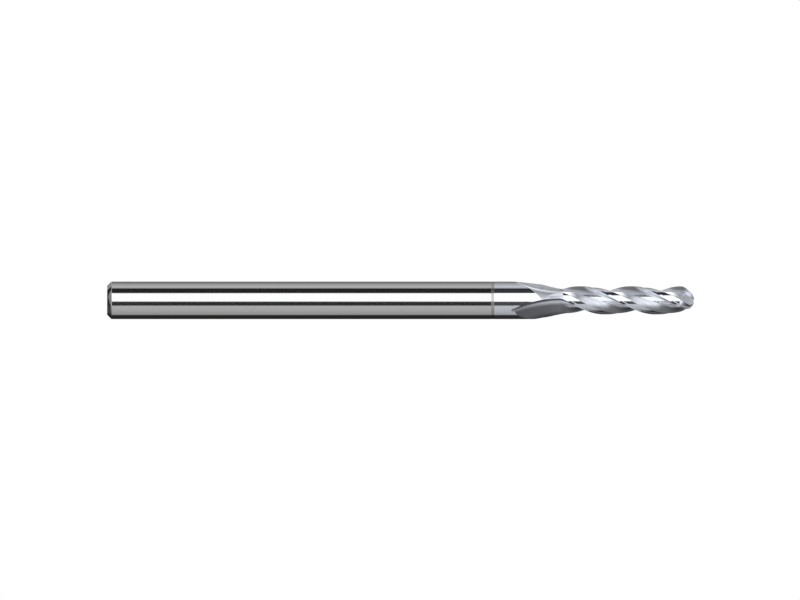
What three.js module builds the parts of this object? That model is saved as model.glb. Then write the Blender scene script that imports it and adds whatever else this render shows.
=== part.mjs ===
// A three-flute, right-hand, ball-nose end mill made in two pieces: a solid carbide cutting head
// brazed to a ground steel shank. Millimetres, +Z up. The tool's axis is the X axis, the tip points
// to +X, and the origin is the centre of the shank's rear end face.

import * as THREE from 'three';

const degrees = THREE.MathUtils.degToRad;

// ---------------------------------------------------------------- driving dimensions

const SHANK_RADIUS = 3.175 / 2;            // 1/8 inch shank
const CUTTER_RADIUS = 2.381 / 2;           // 3/32 inch ball nose
const OVERALL_LENGTH = 49.6;
const REAR_CHAMFER = 0.36;

const BRAZE_START = 32.47;                 // rear face of the brazed joint
const BRAZE_THICKNESS = 0.25;
const SPIGOT_RADIUS = 0.8;                 // the head's locating spigot, inside the shank
const SPIGOT_LENGTH = 2.4;
const SOCKET_CLEARANCE = 0.05;             // all round the spigot and at its end

const FLUTE_COUNT = 3;
const HELIX_ANGLE = degrees(30);           // at the cutter's radius
const HELIX_START = 38.5;                  // helical, full-depth flutes from here to the tip
const HELIX_BLEND = 0.6;                   // the twist comes in over this length
const FIRST_FLUTE_ANGLE = degrees(-33);    // the first flute's floor normal at HELIX_START
const TAPER_START = 36.75;                 // the blank tapers from the shank to the cutter
const TAPER_END = 38.45;

// A flute's section is drawn in cutter radii, with its angles measured from the floor's normal.
const RAKE_POSITION = degrees(40.5);       // the radial rake face, and so the cutting edge
const FLOOR_DISTANCE = 0.63;               // from the tool's axis to the flute floor
const FLOOR_WIDTH = 0.49;                  // flat floor, before it rolls over the rounded back
const BACK_RADIUS = 0.8;
const ROOT_FILLET = 0.15;                  // radius between the core and the rake face

const MARGIN_WIDTH = degrees(7.5);         // full-radius land behind the cutting edge
const STEP_WIDTH = degrees(3);
const BODY_DROP = 0.09;                    // how far the land behind the margin lies below it

const WHEEL_RADIUS = 8.7;                  // a flute runs out along the grinding wheel's arc
const LIFT_DIRECTION = degrees(-23.5);     // the way the wheel leaves, from the floor's normal
const TIP_FLOOR_DISTANCE = 0.3;            // the floor nears the axis towards the ball's tip

// ---------------------------------------------------------------- mesh density

const LATHE_SEGMENTS = 48;
const FLUTE_STEPS = 10;                    // points across a flute, from back to rake
const LAND_STEPS = 6;                      // points across the land behind the step
const WASHOUT_STEPS = 12;
const HELIX_STEP = 0.34;                   // axial distance between sections
const BALL_STEPS = 9;

// ---------------------------------------------------------------- derived sizes

const HEAD_START = BRAZE_START + BRAZE_THICKNESS;
const BALL_CENTRE = OVERALL_LENGTH - CUTTER_RADIUS;
const TWIST_RATE = Math.tan(HELIX_ANGLE) / CUTTER_RADIUS;
const SECTOR = 2 * Math.PI / FLUTE_COUNT;
const SMALLEST_ANGLE = degrees(0.4);
const FULL_LIFT = (SHANK_RADIUS - FLOOR_DISTANCE * CUTTER_RADIUS) / Math.cos(LIFT_DIRECTION);
const WASHOUT_START = HELIX_START - Math.sqrt(2 * WHEEL_RADIUS * FULL_LIFT);

// ---------------------------------------------------------------- flute section

// A flute's section stands in a frame whose first axis is the floor's normal. Every function here
// follows a line from the tool's axis outwards, at `angle` from that normal, and says where it
// enters the flute. `lift` is how far the flute has moved out of the tool along its run-out.

// Both crossings of that line with a circle, or Infinity where it misses.
function circleCrossings(angle, centre, radius) {
  const along = centre.x * Math.cos(angle) + centre.y * Math.sin(angle);
  const across = centre.y * Math.cos(angle) - centre.x * Math.sin(angle);
  const half = Math.sqrt(radius * radius - across * across);
  return Number.isNaN(half) ? [Infinity, Infinity] : [along - half, along + half];
}

// The floor is a flat, with the core's arc beside it and the rounded back on its other side.
function floorSurface(angle, lift, floorDistance) {
  const flat = (floorDistance + lift.x) / Math.cos(angle);
  const aside = flat * Math.sin(angle) - lift.y;
  const facesFloor = Math.cos(angle) > 0;
  if (facesFloor && aside > 0) {
    return circleCrossings(angle, lift, floorDistance)[1];
  }
  if (facesFloor && aside > -FLOOR_WIDTH) {
    return flat;
  }
  const back = new THREE.Vector2(floorDistance - BACK_RADIUS, -FLOOR_WIDTH).add(lift);
  const surface = circleCrossings(angle, back, BACK_RADIUS)[1];
  const beyondBack = surface * Math.cos(angle) < back.x;
  return beyondBack ? Infinity : surface;
}

function rakeSurface(angle, lift) {
  const slope = Math.sin(RAKE_POSITION - angle);
  const offset = lift.x * Math.sin(RAKE_POSITION) - lift.y * Math.cos(RAKE_POSITION);
  return slope <= 0 ? Infinity : offset / slope;
}

function fluteSurface(angle, lift, floorDistance) {
  const sharp = Math.max(floorSurface(angle, lift, floorDistance), rakeSurface(angle, lift));
  if (sharp === Infinity) {
    return sharp;
  }
  const filletDistance = floorDistance + ROOT_FILLET;
  const filletAngle = Math.asin(ROOT_FILLET / filletDistance);
  const filletEnd = filletDistance * Math.cos(filletAngle);
  const point = new THREE.Vector2(sharp * Math.cos(angle), sharp * Math.sin(angle)).sub(lift);
  const inCorner = point.length() < filletEnd
    && Math.atan2(point.y, point.x) > RAKE_POSITION - filletAngle;
  if (!inCorner) {
    return sharp;
  }
  const centreAngle = RAKE_POSITION - filletAngle;
  const centre = new THREE.Vector2(Math.cos(centreAngle), Math.sin(centreAngle))
    .multiplyScalar(filletDistance).add(lift);
  return Math.max(sharp, circleCrossings(angle, centre, ROOT_FILLET)[0]);
}

// The angle between `inside`, where test is true, and `outside`, where it turns false.
function boundary(inside, outside, test) {
  let near = inside;
  let far = outside;
  for (let i = 0; i < 40; i += 1) {
    const middle = (near + far) / 2;
    if (test(middle)) {
      near = middle;
    } else {
      far = middle;
    }
  }
  return near;
}

// ---------------------------------------------------------------- blank

function taperShare(x) {
  return THREE.MathUtils.clamp((x - TAPER_START) / (TAPER_END - TAPER_START), 0, 1);
}

function blankRadius(x) {
  if (x > BALL_CENTRE) {
    return Math.sqrt(CUTTER_RADIUS ** 2 - (x - BALL_CENTRE) ** 2);
  }
  return THREE.MathUtils.lerp(SHANK_RADIUS, CUTTER_RADIUS, taperShare(x));
}

// How far the first flute has turned at x: not at all along the run-out, then by the helix.
function openingAngle(x) {
  const distance = x - HELIX_START;
  const share = THREE.MathUtils.clamp(distance / HELIX_BLEND + 0.5, 0, 1);
  const twisted = HELIX_BLEND * share ** 2 / 2 + Math.max(0, distance - HELIX_BLEND / 2);
  return FIRST_FLUTE_ANGLE - TWIST_RATE * twisted;
}

// ---------------------------------------------------------------- head sections

// One flute and the land behind its cutting edge, as [angle, radius] pairs in millimetres.
function sectorProfile(x) {
  const blank = blankRadius(x);
  const scale = Math.min(blank, CUTTER_RADIUS);
  const edge = blank / scale;
  const body = edge - BODY_DROP * taperShare(x);
  const lifted = Math.max(0, HELIX_START - x) ** 2 / (2 * WHEEL_RADIUS);
  const lift = new THREE.Vector2(Math.cos(LIFT_DIRECTION), Math.sin(LIFT_DIRECTION))
    .multiplyScalar(lifted / CUTTER_RADIUS);
  const floorDistance = THREE.MathUtils.lerp(TIP_FLOOR_DISTANCE, FLOOR_DISTANCE, scale / CUTTER_RADIUS);
  const surface = (angle) => fluteSurface(angle, lift, floorDistance);

  const cuts = surface(0) < body;
  const back = cuts
    ? boundary(0, RAKE_POSITION - SECTOR, (angle) => surface(angle) < body)
    : -SMALLEST_ANGLE;
  const rake = cuts
    ? boundary(0, RAKE_POSITION, (angle) => surface(angle) < edge)
    : SMALLEST_ANGLE;
  const landWidth = Math.max(back + SECTOR - rake, 4 * SMALLEST_ANGLE);
  const margin = rake + Math.min(MARGIN_WIDTH, landWidth / 4);
  const step = margin + Math.min(STEP_WIDTH, landWidth / 4);
  const land = rake + landWidth;

  const points = [];
  for (let i = 0; i <= FLUTE_STEPS; i += 1) {
    const angle = THREE.MathUtils.lerp(back, rake - SMALLEST_ANGLE / 2, i / FLUTE_STEPS);
    points.push([angle, Math.min(surface(angle), edge)]);
  }
  points.push([rake, edge]);
  points.push([margin, edge]);
  for (let i = 0; i < LAND_STEPS; i += 1) {
    const angle = THREE.MathUtils.lerp(step, land, i / LAND_STEPS);
    points.push([angle, Math.min(body, surface(angle - SECTOR))]);
  }
  return points.map(([angle, radius]) => [angle, radius * scale]);
}

function headRing(x) {
  const sector = sectorProfile(x);
  const opening = openingAngle(x);
  const ring = [];
  for (let flute = 0; flute < FLUTE_COUNT; flute += 1) {
    for (const [angle, radius] of sector) {
      const turn = opening + flute * SECTOR + angle;
      ring.push([x, -radius * Math.cos(turn), radius * Math.sin(turn)]);
    }
  }
  return ring;
}

function atRadius(ring, x, radius) {
  return ring.map(([, y, z]) => {
    const scale = radius / Math.hypot(y, z);
    return [x, y * scale, z * scale];
  });
}

// Sections crowd together where the flutes begin, because their outline is round there.
function headStations() {
  const washout = Array.from({ length: WASHOUT_STEPS }, (_, i) => {
    return THREE.MathUtils.lerp(WASHOUT_START, HELIX_START, (i / WASHOUT_STEPS) ** 1.8);
  });
  const helixSteps = Math.round((BALL_CENTRE - HELIX_START) / HELIX_STEP);
  const helix = Array.from({ length: helixSteps }, (_, i) => {
    return THREE.MathUtils.lerp(HELIX_START, BALL_CENTRE, i / helixSteps);
  });
  const ball = Array.from({ length: BALL_STEPS }, (_, i) => {
    return BALL_CENTRE + CUTTER_RADIUS * Math.sin(i / BALL_STEPS * Math.PI / 2);
  });
  return [HEAD_START, ...washout, ...helix, ...ball];
}

// ---------------------------------------------------------------- geometry

// A closed body through rings of equally many points, with a point on the axis at each end.
function loft(rings, startX, endX) {
  const count = rings[0].length;
  const vertices = [...rings.flat(), [startX, 0, 0], [endX, 0, 0]];
  const startPoint = vertices.length - 2;
  const endPoint = vertices.length - 1;
  const lastRing = (rings.length - 1) * count;
  const faces = [];
  for (let i = 0; i < count; i += 1) {
    const next = (i + 1) % count;
    faces.push(startPoint, i, next);
    faces.push(endPoint, lastRing + next, lastRing + i);
    for (let base = 0; base < lastRing; base += count) {
      faces.push(base + i, base + count + i, base + next);
      faces.push(base + next, base + count + i, base + count + next);
    }
  }
  const geometry = new THREE.BufferGeometry();
  geometry.setAttribute('position', new THREE.Float32BufferAttribute(vertices.flat(), 3));
  geometry.setIndex(faces);
  geometry.computeVertexNormals();
  return geometry;
}

// Turns a profile of [radius, x] points about the tool's axis.
function turned(profile) {
  const points = profile.map(([radius, x]) => new THREE.Vector2(radius, x));
  const geometry = new THREE.LatheGeometry(points, LATHE_SEGMENTS);
  geometry.rotateZ(-Math.PI / 2);
  return geometry;
}

function shankGeometry() {
  const socketRadius = SPIGOT_RADIUS + SOCKET_CLEARANCE;
  const socketEnd = BRAZE_START - SPIGOT_LENGTH - SOCKET_CLEARANCE;
  return turned([
    [0, 0],
    [SHANK_RADIUS - REAR_CHAMFER, 0],
    [SHANK_RADIUS, REAR_CHAMFER],
    [SHANK_RADIUS, BRAZE_START],
    [socketRadius, BRAZE_START],
    [socketRadius, socketEnd],
    [0, socketEnd],
  ]);
}

function brazeGeometry() {
  const innerRadius = SPIGOT_RADIUS + SOCKET_CLEARANCE;
  return turned([
    [innerRadius, BRAZE_START],
    [SHANK_RADIUS, BRAZE_START],
    [SHANK_RADIUS, HEAD_START],
    [innerRadius, HEAD_START],
    [innerRadius, BRAZE_START],
  ]);
}

function headGeometry() {
  const rings = headStations().map(headRing);
  const spigotEnd = BRAZE_START - SPIGOT_LENGTH;
  rings.unshift(atRadius(rings[0], HEAD_START, SPIGOT_RADIUS));
  rings.unshift(atRadius(rings[0], spigotEnd, SPIGOT_RADIUS));
  return loft(rings, spigotEnd, OVERALL_LENGTH);
}

// ---------------------------------------------------------------- model

function named(name, geometry, colour, roughness) {
  const material = new THREE.MeshStandardMaterial({ color: colour, roughness, metalness: 1 });
  const mesh = new THREE.Mesh(geometry, material);
  mesh.name = name;
  return mesh;
}

const endMill = new THREE.Group();
endMill.add(named('shank', shankGeometry(), 0xb4b4b4, 0.12));
endMill.add(named('braze_joint', brazeGeometry(), 0xa09c90, 0.35));
endMill.add(named('cutting_head', headGeometry(), 0xa9abb6, 0.2));

export default endMill;
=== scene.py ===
"""A three-flute ball-nose end mill on a pale floor: ground steel shank, brazed carbide head."""

import math

import bpy
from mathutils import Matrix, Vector


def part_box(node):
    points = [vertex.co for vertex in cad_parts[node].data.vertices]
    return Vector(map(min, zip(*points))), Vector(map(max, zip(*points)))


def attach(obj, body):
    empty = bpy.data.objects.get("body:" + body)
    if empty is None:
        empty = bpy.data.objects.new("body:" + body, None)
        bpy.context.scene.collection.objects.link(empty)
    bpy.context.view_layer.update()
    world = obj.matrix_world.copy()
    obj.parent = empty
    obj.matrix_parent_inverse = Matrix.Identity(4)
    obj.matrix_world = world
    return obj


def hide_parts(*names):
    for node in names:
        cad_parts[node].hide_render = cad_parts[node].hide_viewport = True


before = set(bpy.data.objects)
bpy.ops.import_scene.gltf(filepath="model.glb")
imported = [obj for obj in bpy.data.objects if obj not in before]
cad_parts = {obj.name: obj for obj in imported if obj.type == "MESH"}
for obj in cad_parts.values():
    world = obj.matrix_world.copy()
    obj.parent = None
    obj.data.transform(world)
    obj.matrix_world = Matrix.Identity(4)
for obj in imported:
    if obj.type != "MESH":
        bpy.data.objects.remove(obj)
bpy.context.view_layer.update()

# ---------------------------------------------------------------- sizes from the frame, in metres

MM = 0.001
SHANK_LOW, SHANK_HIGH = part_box("shank")
BRAZE_LOW, BRAZE_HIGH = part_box("braze_joint")
HEAD_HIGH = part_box("cutting_head")[1]

SHANK_RADIUS = SHANK_HIGH.z
TIP = HEAD_HIGH.x
HEAD_START = BRAZE_HIGH.x
CUTTER_RADIUS = 0.75 * SHANK_RADIUS

# ---------------------------------------------------------------- the tool's own shape

REAR_CHAMFER = 0.36 * MM
EDGE_ROUND = 0.02 * MM             # tiny radius where two turned faces meet
JOINT_ROUND = 0.003 * MM           # the same at the brazed joint, which is ground flush
BRAZE_STEP_DOWN = 0.005 * MM       # the filler lies this far below the ground surface
BRAZE_GROOVE = 0.0006 * MM         # and its middle this much lower
BRAZE_STEPS = 8                    # across the ring

FLUTES = 3
SECTOR = math.tau / FLUTES
HELIX_START = 38.5 * MM            # helical, full-depth flutes from here to the tip
HELIX_BLEND = 0.6 * MM             # the twist comes in over this length
FIRST_FLUTE_ANGLE = math.radians(-33)
TAPER_START = 36.75 * MM           # the blank tapers from the shank to the cutter
TAPER_END = 38.45 * MM
TWIST_RATE = math.tan(math.radians(30)) / CUTTER_RADIUS
BALL_CENTRE = TIP - CUTTER_RADIUS

# A flute's section is drawn in cutter radii, with its angles measured from the floor's normal.
RAKE_POSITION = math.radians(40.5)
FLOOR_DISTANCE = 0.63
FLOOR_WIDTH = 0.49
BACK_RADIUS = 0.8
ROOT_FILLET = 0.15
MARGIN_WIDTH = math.radians(7.5)
STEP_WIDTH = math.radians(3)
BODY_DROP = 0.09
LIFT_DIRECTION = math.radians(-23.5)
TIP_FLOOR_DISTANCE = 0.3
SMALLEST_ANGLE = math.radians(0.3)
UNCUT_ANGLE = math.radians(2)      # where the flutes' points wait, on the plain shank

# The grinding wheel leaves the tool along an arc of its own radius.
WHEEL_RADIUS = 8.7 * MM
FULL_LIFT = (SHANK_RADIUS - FLOOR_DISTANCE * CUTTER_RADIUS) / math.cos(LIFT_DIRECTION)
WASHOUT_START = HELIX_START - math.sqrt(2 * WHEEL_RADIUS * FULL_LIFT)

# ---------------------------------------------------------------- small helpers


HALVINGS = 40                      # enough for every digit of an angle


def lerp(start, end, share):
    return start + (end - start) * share


def clamp(value):
    return min(1.0, max(0.0, value))


def spread(start, end, count, power=1.0):
    """count values from start towards end, without end itself."""
    return [lerp(start, end, (i / count) ** power) for i in range(count)]


def boundary(inside, outside, test):
    """The value between inside, where test is true, and outside, where it is false."""
    for _ in range(HALVINGS):
        middle = (inside + outside) / 2
        if test(middle):
            inside = middle
        else:
            outside = middle
    return inside


# ---------------------------------------------------------------- flute section


def circle_crossings(angle, centre, radius):
    """Where a line from the axis enters and leaves a circle."""
    along = centre[0] * math.cos(angle) + centre[1] * math.sin(angle)
    across = centre[1] * math.cos(angle) - centre[0] * math.sin(angle)
    square = radius * radius - across * across
    if square < 0:
        return math.inf, math.inf
    return along - math.sqrt(square), along + math.sqrt(square)


def floor_surface(angle, lift, floor_distance):
    """Where a line from the axis leaves the material under the flute."""
    if math.cos(angle) > 0:
        flat = (floor_distance + lift[0]) / math.cos(angle)
        aside = flat * math.sin(angle) - lift[1]
        if aside > 0:
            return circle_crossings(angle, lift, floor_distance)[1]
        if aside > -FLOOR_WIDTH:
            return flat
    back = (lift[0] + floor_distance - BACK_RADIUS, lift[1] - FLOOR_WIDTH)
    surface = circle_crossings(angle, back, BACK_RADIUS)[1]
    beyond_back = surface < math.inf and surface * math.cos(angle) < back[0]
    return math.inf if beyond_back else surface


def rake_surface(angle, lift):
    """Where a line from the axis crosses the flat rake face."""
    slope = math.sin(RAKE_POSITION - angle)
    if slope <= 0:
        return math.inf
    return (lift[0] * math.sin(RAKE_POSITION) - lift[1] * math.cos(RAKE_POSITION)) / slope


def flute_surface(angle, lift, floor_distance):
    """Where a line from the axis enters the flute, with the fillet between floor and rake face."""
    sharp = max(floor_surface(angle, lift, floor_distance), rake_surface(angle, lift))
    if sharp == math.inf:
        return sharp
    fillet_distance = floor_distance + ROOT_FILLET
    fillet_angle = math.asin(ROOT_FILLET / fillet_distance)
    centre_angle = RAKE_POSITION - fillet_angle
    x = sharp * math.cos(angle) - lift[0]
    y = sharp * math.sin(angle) - lift[1]
    in_corner = math.hypot(x, y) < fillet_distance * math.cos(fillet_angle)
    if not in_corner or math.atan2(y, x) < centre_angle:
        return sharp
    centre = (
        lift[0] + fillet_distance * math.cos(centre_angle),
        lift[1] + fillet_distance * math.sin(centre_angle),
    )
    return max(sharp, circle_crossings(angle, centre, ROOT_FILLET)[0])


# ---------------------------------------------------------------- head sections

# How many points each stretch of a sector has, and how many sections each stretch of the head.
FLUTE_POINTS = 34
MARGIN_POINTS = 3
STEP_POINTS = 3
LAND_POINTS = 30
PLAIN_SECTIONS = 24
WASHOUT_SECTIONS = 70
HELIX_SECTIONS = 150
BALL_SECTIONS = 26
WASHOUT_CROWDING = 1.8             # sections stand closer where the washout starts
LAST_BALL_ANGLE = math.radians(88.5)   # the last section, just short of the ball's end


def taper_share(x):
    return clamp((x - TAPER_START) / (TAPER_END - TAPER_START))


def blank_radius(x):
    if x > BALL_CENTRE:
        return math.sqrt(CUTTER_RADIUS**2 - (x - BALL_CENTRE) ** 2)
    return lerp(SHANK_RADIUS, CUTTER_RADIUS, taper_share(x))


def washout_lift(x):
    """How far the wheel has left the full-depth flute, across the flute's floor and along it."""
    out = max(0.0, HELIX_START - x) ** 2 / (2 * WHEEL_RADIUS) / CUTTER_RADIUS
    return out * math.cos(LIFT_DIRECTION), out * math.sin(LIFT_DIRECTION)


def sector_profile(x):
    """One flute and the land behind its cutting edge, as (angle, radius) pairs."""
    blank = blank_radius(x)
    scale = min(blank, CUTTER_RADIUS)
    edge = blank / scale
    body = edge - BODY_DROP * taper_share(x)
    lift = washout_lift(x)
    floor_distance = lerp(TIP_FLOOR_DISTANCE, FLOOR_DISTANCE, scale / CUTTER_RADIUS)

    def surface(angle):
        return flute_surface(angle, lift, floor_distance)

    back, rake = -UNCUT_ANGLE, UNCUT_ANGLE
    if surface(0) < body:
        back = boundary(0, RAKE_POSITION - SECTOR, lambda a: surface(a) < body)
        rake = boundary(0, RAKE_POSITION, lambda a: surface(a) < edge)
    land_width = max(back + SECTOR - rake, 4 * SMALLEST_ANGLE)
    margin = rake + min(MARGIN_WIDTH, land_width / 4)
    step = margin + min(STEP_WIDTH, land_width / 4)

    near_rake = rake - SMALLEST_ANGLE / 2
    points = []
    for angle in [*spread(back, near_rake, FLUTE_POINTS), near_rake]:
        points.append((angle, min(surface(angle), edge)))
    for angle in spread(rake, margin, MARGIN_POINTS):
        points.append((angle, edge))
    for angle in spread(margin, step, STEP_POINTS):
        share = (angle - margin) / (step - margin)
        points.append((angle, lerp(edge, body, share)))
    for angle in spread(step, rake + land_width, LAND_POINTS):
        points.append((angle, min(body, surface(angle - SECTOR))))
    return [(angle, radius * scale) for angle, radius in points]


def opening_angle(x):
    """The direction of the first flute's floor, which turns along the helix."""
    distance = x - HELIX_START
    share = clamp(distance / HELIX_BLEND + 0.5)
    twisted = HELIX_BLEND * share**2 / 2 + max(0.0, distance - HELIX_BLEND / 2)
    return FIRST_FLUTE_ANGLE - TWIST_RATE * twisted


def head_ring(x):
    """All the points of the head's section at x."""
    opening = opening_angle(x)
    sector = sector_profile(x)
    ring = []
    for flute in range(FLUTES):
        for angle, radius in sector:
            turn = opening + flute * SECTOR + angle
            ring.append((x, -radius * math.cos(turn), radius * math.sin(turn)))
    return ring


def head_stations():
    """Where the head's sections stand, from the brazed joint to the tip."""
    ball = [
        BALL_CENTRE + CUTTER_RADIUS * math.sin(angle)
        for angle in spread(0, LAST_BALL_ANGLE, BALL_SECTIONS)
    ]
    return [
        *spread(HEAD_START, WASHOUT_START, PLAIN_SECTIONS),
        *spread(WASHOUT_START, HELIX_START, WASHOUT_SECTIONS, WASHOUT_CROWDING),
        *spread(HELIX_START, BALL_CENTRE, HELIX_SECTIONS),
        *ball,
    ]


# ---------------------------------------------------------------- mesh building


def loft(name, rings, start, end, sharp_angle):
    """A closed surface through rings of equally many points, with a point at each end."""
    count = len(rings[0])
    vertices = [point for ring in rings for point in ring]
    vertices += [start, end]
    start_index, end_index = len(vertices) - 2, len(vertices) - 1
    last = (len(rings) - 1) * count
    faces = []
    for i in range(count):
        j = (i + 1) % count
        faces.append((start_index, i, j))
        faces.append((end_index, last + j, last + i))
        for base in range(0, last, count):
            faces.append((base + i, base + count + i, base + count + j, base + j))
    mesh = bpy.data.meshes.new(name)
    mesh.from_pydata(vertices, [], faces)
    mesh.validate()
    mesh.shade_smooth()
    mesh.set_sharp_from_angle(angle=sharp_angle)
    piece = bpy.data.objects.new(name, mesh)
    bpy.context.scene.collection.objects.link(piece)
    return piece


SEGMENTS = 288                     # round a turned piece
TURNED_SHARP = math.radians(30)    # edges sharper than this are shaded as edges
FLUTED_SHARP = math.radians(24)
CORNER_STEPS = 4
END_RING = 0.3                     # each flat end has a ring at this share of its radius


def turned_ring(x, radius, count):
    step = math.tau / count
    return [
        (x, -radius * math.cos(i * step), radius * math.sin(i * step)) for i in range(count)
    ]


def turned(name, profile, start, end):
    """A solid of revolution through a profile of (x, radius) points."""
    rings = [turned_ring(x, radius, SEGMENTS) for x, radius in profile]
    return loft(name, rings, start, end, TURNED_SHARP)


def rounded(corner, before, after, radius):
    """Points round a profile's corner, between its two neighbours."""
    corner, before, after = Vector(corner), Vector(before), Vector(after)
    first = corner + (before - corner).normalized() * radius
    last = corner + (after - corner).normalized() * radius
    points = []
    for i in range(CORNER_STEPS + 1):
        share = i / CORNER_STEPS
        points.append(first.lerp(corner, share).lerp(corner.lerp(last, share), share))
    return [(p.x, p.y) for p in points]


# ---------------------------------------------------------------- pieces


def make_shank():
    """The shank: straight rings beside its rounded edges keep its long side exactly straight."""
    rear = SHANK_LOW.x
    front = SHANK_HIGH.x
    inner = SHANK_RADIUS - REAR_CHAMFER
    corners = [
        (rear, 0.0),
        (rear, inner),
        (rear + REAR_CHAMFER, SHANK_RADIUS),
        (front, SHANK_RADIUS),
        (front, 0.0),
    ]
    profile = [(rear, inner * END_RING)]
    profile += rounded(corners[1], corners[0], corners[2], EDGE_ROUND)
    profile += rounded(corners[2], corners[1], corners[3], EDGE_ROUND)
    profile += [(rear + REAR_CHAMFER + 2 * EDGE_ROUND, SHANK_RADIUS)]
    profile += [(front - 2 * JOINT_ROUND, SHANK_RADIUS)]
    profile += rounded(corners[3], corners[2], corners[4], JOINT_ROUND)
    profile += [(front, inner * END_RING)]
    return turned("ground_shank", profile, (rear, 0, 0), (front, 0, 0))


def make_braze():
    """The ring of filler, just below the ground surface and faintly hollow."""
    start, end = BRAZE_LOW.x, BRAZE_HIGH.x
    profile = [(start, SHANK_RADIUS * END_RING)]
    for i in range(BRAZE_STEPS + 1):
        share = i / BRAZE_STEPS
        groove = BRAZE_GROOVE * math.sin(math.pi * share)
        profile.append((lerp(start, end, share), SHANK_RADIUS - BRAZE_STEP_DOWN - groove))
    profile += [(end, SHANK_RADIUS * END_RING)]
    return turned("braze_ring", profile, (start, 0, 0), (end, 0, 0))


# Marks on the head's points, which its material reads.
RUN_OUT = "run_out"                # matte, with a painted shade that darkens the colour, where a flute runs out
FLUTE = "flute"                    # streaked, in a helical flute
RUN_OUT_FADE = 0.5 * MM


def mark_flutes(head, stations, name, strength):
    """Gives every point inside a flute the strength at its station, and the others none."""
    values = []
    for x in stations:
        sector = [strength(x)] * (FLUTE_POINTS + 1)
        sector += [0.0] * (MARGIN_POINTS + STEP_POINTS + LAND_POINTS)
        values += sector * FLUTES
    values += [0.0, 0.0]
    attribute = head.data.attributes.new(name, "FLOAT", "POINT")
    attribute.data.foreach_set("value", values)


def run_out_share(x):
    """The run-out keeps the matte finish of the grinding wheel, and its colour is darkened there as
    painted shade.
    """
    if x <= WASHOUT_START:
        return 0.0
    return clamp((HELIX_START + RUN_OUT_FADE - x) / RUN_OUT_FADE)


def helix_share(x):
    """The helical flutes are polished, with streaks along them."""
    return clamp((x - HELIX_START) / RUN_OUT_FADE)


def make_head():
    """The carbide head, with its flutes marked for the material."""
    stations = head_stations()
    rings = [head_ring(x) for x in stations]
    head = loft("fluted_head", rings, (HEAD_START, 0, 0), (TIP, 0, 0), FLUTED_SHARP)
    mark_flutes(head, stations, RUN_OUT, run_out_share)
    mark_flutes(head, stations, FLUTE, helix_share)
    return head


# ---------------------------------------------------------------- materials


class Nodes:
    """A short way to add and join shader nodes."""

    def __init__(self, tree):
        self.tree = tree

    def add(self, kind, inputs=None, **settings):
        node = self.tree.nodes.new(kind)
        for key, value in settings.items():
            setattr(node, key, value)
        for key, value in (inputs or {}).items():
            if isinstance(value, bpy.types.NodeSocket):
                self.tree.links.new(value, node.inputs[key])
            else:
                node.inputs[key].default_value = value
        return node


WHITE = 255


def grey(level):
    """A display grey as linear light: 255 is white, and a lamp may be brighter."""
    value = level / WHITE
    return value / 12.92 if value <= 0.04045 else ((value + 0.055) / 1.055) ** 2.4


def multiplied(n, colour, factor):
    mix = n.add(
        "ShaderNodeMixRGB",
        {"Fac": 1.0, "Color1": colour, "Color2": factor},
        blend_type="MULTIPLY",
    )
    return mix.outputs["Color"]


def ranged(n, value, low, high):
    """A value of 0 to 1, spread between low and high."""
    spread_out = n.add("ShaderNodeMapRange", {"Value": value, "To Min": low, "To Max": high})
    return spread_out.outputs["Result"]


def marked(n, name):
    return n.add("ShaderNodeAttribute", attribute_name=name).outputs["Fac"]


# Grinding lines: how much they change the gloss and the tint.
LINE_DETAIL = 4.0
LINE_ROUGHNESS = 0.6
GLOSS_SPREAD = (0.8, 1.25)
TINT_SPREAD = (0.985, 1.015)

STREAK_STRETCH = 60.0              # turns of noise along one metre, against those round the tool
STREAK_SCALE = 9.0
STREAK_DETAIL = 3.0
STREAK_DEPTH = 0.006 * MM


def grinding_lines(n, where, scale):
    """Fine lines round the tool, as a height between 0 and 1."""
    stretched = n.add("ShaderNodeMapping", {"Vector": where, "Scale": scale})
    return n.add(
        "ShaderNodeTexNoise",
        {
            "Vector": stretched.outputs["Vector"],
            "Scale": 1.0,
            "Detail": LINE_DETAIL,
            "Roughness": LINE_ROUGHNESS,
        },
    ).outputs["Fac"]


def streaks_along_flutes(n, where):
    """Grinding streaks that follow the helix, as a height between 0 and 1."""
    split = n.add("ShaderNodeSeparateXYZ", {"Vector": where})
    x, y, z = (split.outputs[axis] for axis in "XYZ")
    front = n.add("ShaderNodeMath", {0: y, 1: -1.0}, operation="MULTIPLY").outputs[0]
    turn = n.add("ShaderNodeMath", {0: z, 1: front}, operation="ARCTAN2").outputs[0]
    straight = n.add(
        "ShaderNodeMath",
        {0: x, 1: TWIST_RATE, 2: turn},
        operation="MULTIPLY_ADD",
    ).outputs[0]
    along = n.add("ShaderNodeMath", {0: x, 1: STREAK_STRETCH}, operation="MULTIPLY")
    unwound = n.add(
        "ShaderNodeCombineXYZ",
        {
            "X": along.outputs[0],
            "Y": n.add("ShaderNodeMath", {0: straight}, operation="COSINE").outputs[0],
            "Z": n.add("ShaderNodeMath", {0: straight}, operation="SINE").outputs[0],
        },
    )
    return n.add(
        "ShaderNodeTexNoise",
        {
            "Vector": unwound.outputs["Vector"],
            "Scale": STREAK_SCALE,
            "Detail": STREAK_DETAIL,
        },
    ).outputs["Fac"]


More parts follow.
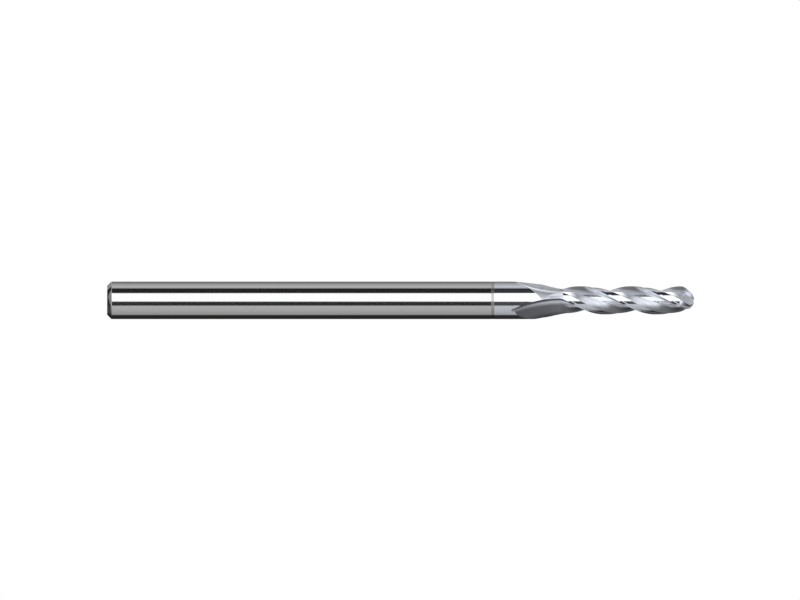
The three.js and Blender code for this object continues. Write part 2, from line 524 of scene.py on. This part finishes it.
def ground_metal(name, colour, roughness, line_scale, line_depth, matte_and_shade=None):
    """Ground and polished metal: fine lines that run round the tool, with slight gloss changes.

    Its last argument is the roughness and the painted shade, a darker colour, of the surfaces that a
    piece marks as run-out.
    """
    material = bpy.data.materials.new(name)
    material.use_nodes = True
    tree = material.node_tree
    tree.nodes.clear()
    n = Nodes(tree)
    where = n.add("ShaderNodeTexCoord").outputs["Object"]
    lines = grinding_lines(n, where, line_scale)
    gloss = ranged(n, lines, *(roughness * share for share in GLOSS_SPREAD))
    tinted = multiplied(n, (*colour, 1), ranged(n, lines, *TINT_SPREAD))
    bump = n.add(
        "ShaderNodeBump",
        {"Height": lines, "Strength": 1.0, "Distance": line_depth},
    )
    if matte_and_shade:
        matte_roughness, painted_shade = matte_and_shade
        run_out = marked(n, RUN_OUT)
        # The run-out's colour is darkened here: painted shade.
        tinted = multiplied(n, tinted, ranged(n, run_out, 1.0, painted_shade))
        gloss = ranged(n, run_out, gloss, matte_roughness)
        bump = n.add(
            "ShaderNodeBump",
            {
                "Height": streaks_along_flutes(n, where),
                "Strength": marked(n, FLUTE),
                "Distance": STREAK_DEPTH,
                "Normal": bump.outputs["Normal"],
            },
        )
    shader = n.add(
        "ShaderNodeBsdfPrincipled",
        {
            "Base Color": tinted,
            "Metallic": 1.0,
            "Roughness": gloss,
            "Normal": bump.outputs["Normal"],
        },
    )
    n.add("ShaderNodeOutputMaterial", {"Surface": shader.outputs["BSDF"]})
    return material


STEEL = (0.70, 0.70, 0.70)
FILLER = (0.53, 0.53, 0.53)
CARBIDE = (0.85, 0.88, 0.965)
CARBIDE_GREY = 0.89                # the tinted carbide's brightness


def steel_material():
    return ground_metal(
        "ground_steel",
        STEEL,
        roughness=0.04,
        line_scale=(90000, 2500, 2500),
        line_depth=0.000003 * MM,
    )


def braze_material():
    return ground_metal(
        "braze_filler",
        FILLER,
        roughness=0.08,
        line_scale=(40000, 20000, 20000),
        line_depth=0.00002 * MM,
    )


def carbide_material():
    return ground_metal(
        "ground_carbide",
        CARBIDE,
        roughness=0.05,
        line_scale=(60000, 9000, 9000),
        line_depth=0.000004 * MM,
        # On the run-out: matte roughness 0.36, and 0.74 darkens the colour as painted shade.
        matte_and_shade=(0.36, 0.74),
    )


# ---------------------------------------------------------------- studio

# The light tent round the tool, from straight behind it over the top to the front and under it.
# Each stop is an angle above the front, in degrees, and the grey that the metal shows there.
# The strip square to the tool has crisp white cards and black flags.
SQUARE_ON = [
    (180, 60), (145, 105), (115, 150), (95, 175), (82, 160),   # grey ceiling
    (77, 30), (47, 20),                                        # upper flag
    (42, 255), (-4, 255),                                      # white card
    (-10, 30), (-30, 30),                                      # lower flag
    (-36, 170), (-60, 165), (-98, 140),                        # grey card
    (-106, 35), (-150, 35), (-180, 60),                        # floor flag
]

# Towards the shank and the tip the light is soft: how far a direction leans towards the tip (the
# X part of a unit vector), and the light there.
LEANING = [
    (-0.97, [(180, 60), (115, 35), (110, 145), (-20, 120), (-90, 145), (-95, 30), (-180, 70)]),
    (-0.75, [(140, 150), (135, 30), (120, 30), (115, 150), (90, 175), (60, 120), (-15, 105),
             (-50, 185), (-85, 205), (-120, 80), (-180, 60)]),
    (-0.50, [(160, 150), (85, 190), (40, 130), (10, 125), (-35, 245), (-65, 190), (-110, 60),
             (-140, 30)]),
    (-0.15, [(165, 40), (150, 150), (70, 120), (45, 235), (20, 245), (-20, 205), (-45, 95),
             (-140, 40)]),
    (-0.05, [(140, 250), (95, 165), (65, 155), (40, 240), (-25, 235), (-50, 105), (-80, 120),
             (-135, 50), (-180, 90)]),
    (0.07, [(150, 300), (120, 165), (70, 160), (40, 210), (-25, 245), (-50, 150), (-70, 100),
            (-130, 60), (-180, 90)]),
    (0.20, [(150, 310), (130, 230), (110, 150), (95, 160), (65, 220), (-20, 240), (-50, 115),
            (-110, 65), (-180, 90)]),
    (0.35, [(150, 310), (130, 230), (105, 150), (80, 215), (10, 250), (-20, 170), (-50, 110),
            (-100, 95), (-180, 100)]),
    (0.50, [(150, 310), (120, 200), (95, 150), (50, 230), (0, 150), (-50, 105), (-180, 110)]),
    (0.80, [(130, 180), (80, 160), (20, 95), (-10, 60), (-180, 70)]),
]
CRISP_LEAN = (0.01, 0.02)          # where the crisp strip begins and has finished to fade


def studio_ramp(n, share, stops, reflectance):
    """The light along one strip; reflectance is that of the metal whose greys the stops give."""
    ramp = n.add("ShaderNodeValToRGB", {"Fac": share})
    elements = ramp.color_ramp.elements
    while len(elements) < len(stops):
        elements.new(0.5)
    for element, (angle, level) in zip(elements, sorted(stops)):
        light = grey(level) / reflectance
        element.position = angle / 360 + 0.5
        element.color = (light, light, light, 1)
    return ramp.outputs["Color"]


def blend(n, lean, start, end, before, after):
    """One light fading into another as the lean goes from start to end."""
    fade = n.add(
        "ShaderNodeMapRange",
        {"Value": lean, "From Min": start, "From Max": end},
    )
    mix = n.add(
        "ShaderNodeMixRGB",
        {"Fac": fade.outputs["Result"], "Color1": before, "Color2": after},
    )
    return mix.outputs["Color"]


def make_world():
    """The studio as reflections see it. The camera and diffuse surfaces see plain white."""
    world = bpy.data.worlds.new("studio")
    world.use_nodes = True
    tree = world.node_tree
    tree.nodes.clear()
    n = Nodes(tree)
    where = n.add("ShaderNodeTexCoord")
    split = n.add("ShaderNodeSeparateXYZ", {"Vector": where.outputs["Generated"]})
    front = n.add("ShaderNodeMath", {0: split.outputs["Y"], 1: -1.0}, operation="MULTIPLY")
    angle = n.add("ShaderNodeMath", {0: split.outputs["Z"], 1: front.outputs[0]}, operation="ARCTAN2")
    turn = n.add(
        "ShaderNodeMapRange",
        {"Value": angle.outputs[0], "From Min": -math.pi, "From Max": math.pi},
    )
    share = turn.outputs["Result"]
    lean = split.outputs["X"]

    soft = studio_ramp(n, share, LEANING[0][1], CARBIDE_GREY)
    for (start, _), (end, stops) in zip(LEANING, LEANING[1:]):
        soft = blend(n, lean, start, end, soft, studio_ramp(n, share, stops, CARBIDE_GREY))
    crisp = studio_ramp(n, share, SQUARE_ON, STEEL[0])
    distance = n.add("ShaderNodeMath", {0: lean}, operation="ABSOLUTE")
    tent = blend(n, distance.outputs[0], *CRISP_LEAN, crisp, soft)

    path = n.add("ShaderNodeLightPath")
    plain = n.add(
        "ShaderNodeMath",
        {0: path.outputs["Is Camera Ray"], 1: path.outputs["Is Diffuse Ray"]},
        operation="MAXIMUM",
    )
    light = n.add(
        "ShaderNodeMixRGB",
        {"Fac": plain.outputs[0], "Color1": tent, "Color2": (1, 1, 1, 1)},
    )
    sky = n.add("ShaderNodeBackground", {"Color": light.outputs["Color"], "Strength": 1.0})
    n.add("ShaderNodeOutputWorld", {"Surface": sky.outputs["Background"]})
    bpy.context.scene.world = world


FLOOR_REACH = 12 * TIP
FLOOR_COLOUR = (0.96, 0.96, 0.96, 1)


def make_floor():
    """A plain pale floor that the tool lies on."""
    reach, z = FLOOR_REACH, -SHANK_RADIUS
    corners = [(-reach, -reach, z), (reach, -reach, z), (reach, reach, z), (-reach, reach, z)]
    mesh = bpy.data.meshes.new("floor")
    mesh.from_pydata(corners, [], [(0, 1, 2, 3)])
    floor = bpy.data.objects.new("floor", mesh)
    bpy.context.scene.collection.objects.link(floor)
    floor.visible_glossy = False
    material = bpy.data.materials.new("floor")
    material.use_nodes = True
    shader = material.node_tree.nodes["Principled BSDF"]
    shader.inputs["Base Color"].default_value = FLOOR_COLOUR
    shader.inputs["Roughness"].default_value = 0.9
    shader.inputs["Specular IOR Level"].default_value = 0.0
    floor.data.materials.append(material)


VIEW_WIDTH = 1.363                 # in lengths of the tool
VIEW_CENTRE = 0.499                # along the tool, in its lengths
CAMERA_DISTANCE = 6 * TIP
CAMERA_HEIGHT = 0.03 * MM          # above the axis


def make_camera():
    """Square on to the tool's side, level with its axis, with the tool across the middle."""
    data = bpy.data.cameras.new("camera")
    data.type = "ORTHO"
    data.ortho_scale = VIEW_WIDTH * TIP
    camera = bpy.data.objects.new("camera", data)
    camera.location = (VIEW_CENTRE * TIP, -CAMERA_DISTANCE, CAMERA_HEIGHT)
    camera.rotation_euler = (math.radians(90), 0, 0)
    bpy.context.scene.collection.objects.link(camera)
    bpy.context.scene.camera = camera


# ---------------------------------------------------------------- assembly


def place(piece, node, material):
    """Gives a piece its material and puts it in the place of its CAD node."""
    piece.data.materials.append(material)
    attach(piece, "root")
    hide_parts(node)


make_camera()
place(make_shank(), "shank", steel_material())
place(make_braze(), "braze_joint", braze_material())
place(make_head(), "cutting_head", carbide_material())
make_world()
make_floor()
bpy.context.scene.view_settings.view_transform = "Standard"
